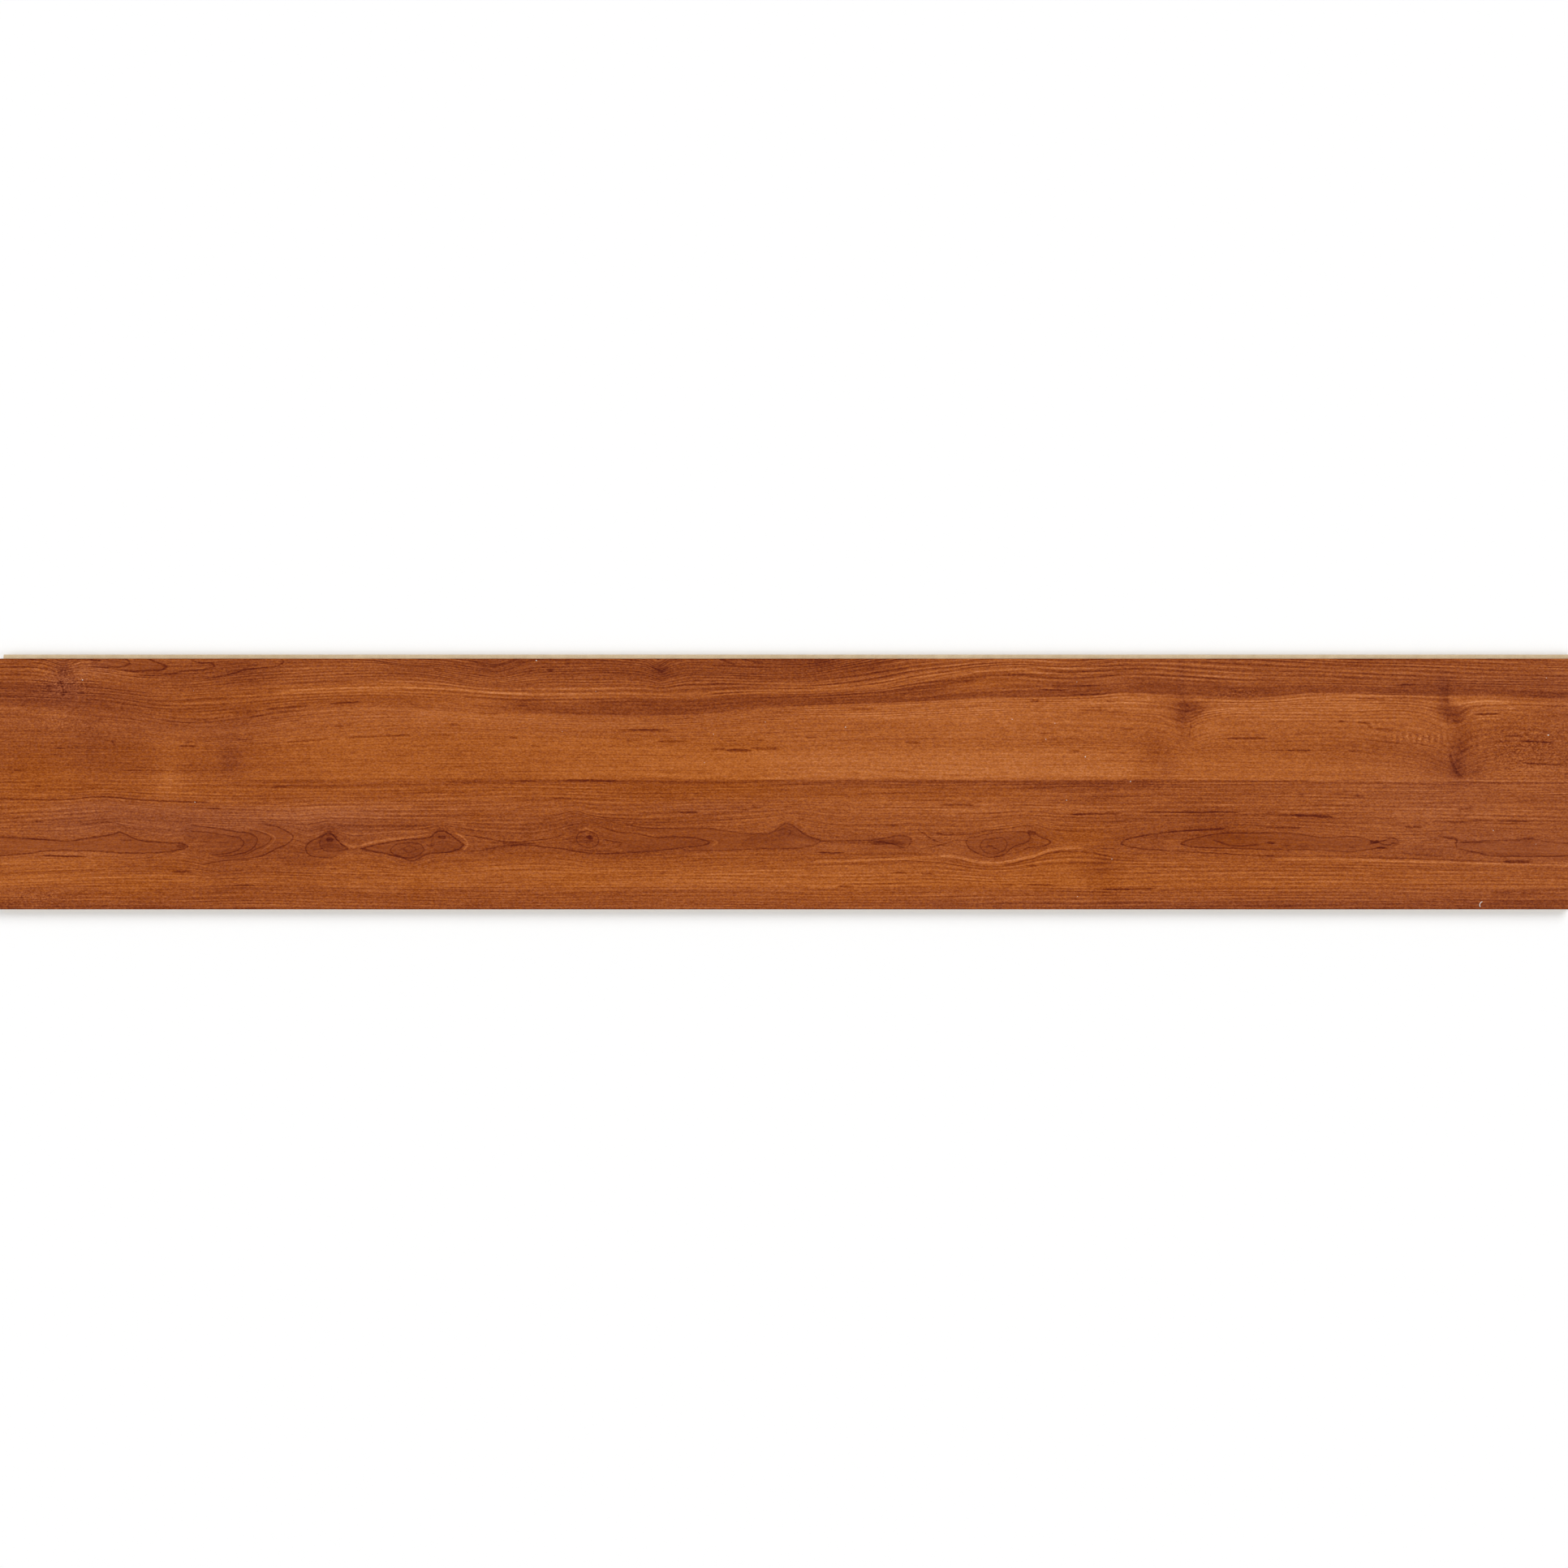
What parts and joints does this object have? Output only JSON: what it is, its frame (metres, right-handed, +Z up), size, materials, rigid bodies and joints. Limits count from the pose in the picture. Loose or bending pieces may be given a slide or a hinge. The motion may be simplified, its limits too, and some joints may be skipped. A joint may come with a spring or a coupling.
{
  "type": "laminate floor plank",
  "caption": "Flat laminate floor plank with a printed strip-wood face and tongue-and-groove milling on its long sides and ends.",
  "frame": {"origin": "on the underside, below the middle of the printed face", "axes": "+X along the plank towards the end with the tongue, +Y across it towards the long side with the tongue, +Z up from the underside to the printed face"},
  "size_m": [1.2182, 0.1972, 0.008],
  "materials": {
    "printed_face": "satin"
  },
  "bodies": {
    "root": {"plank": "printed_face"}
  },
  "joints": []
}
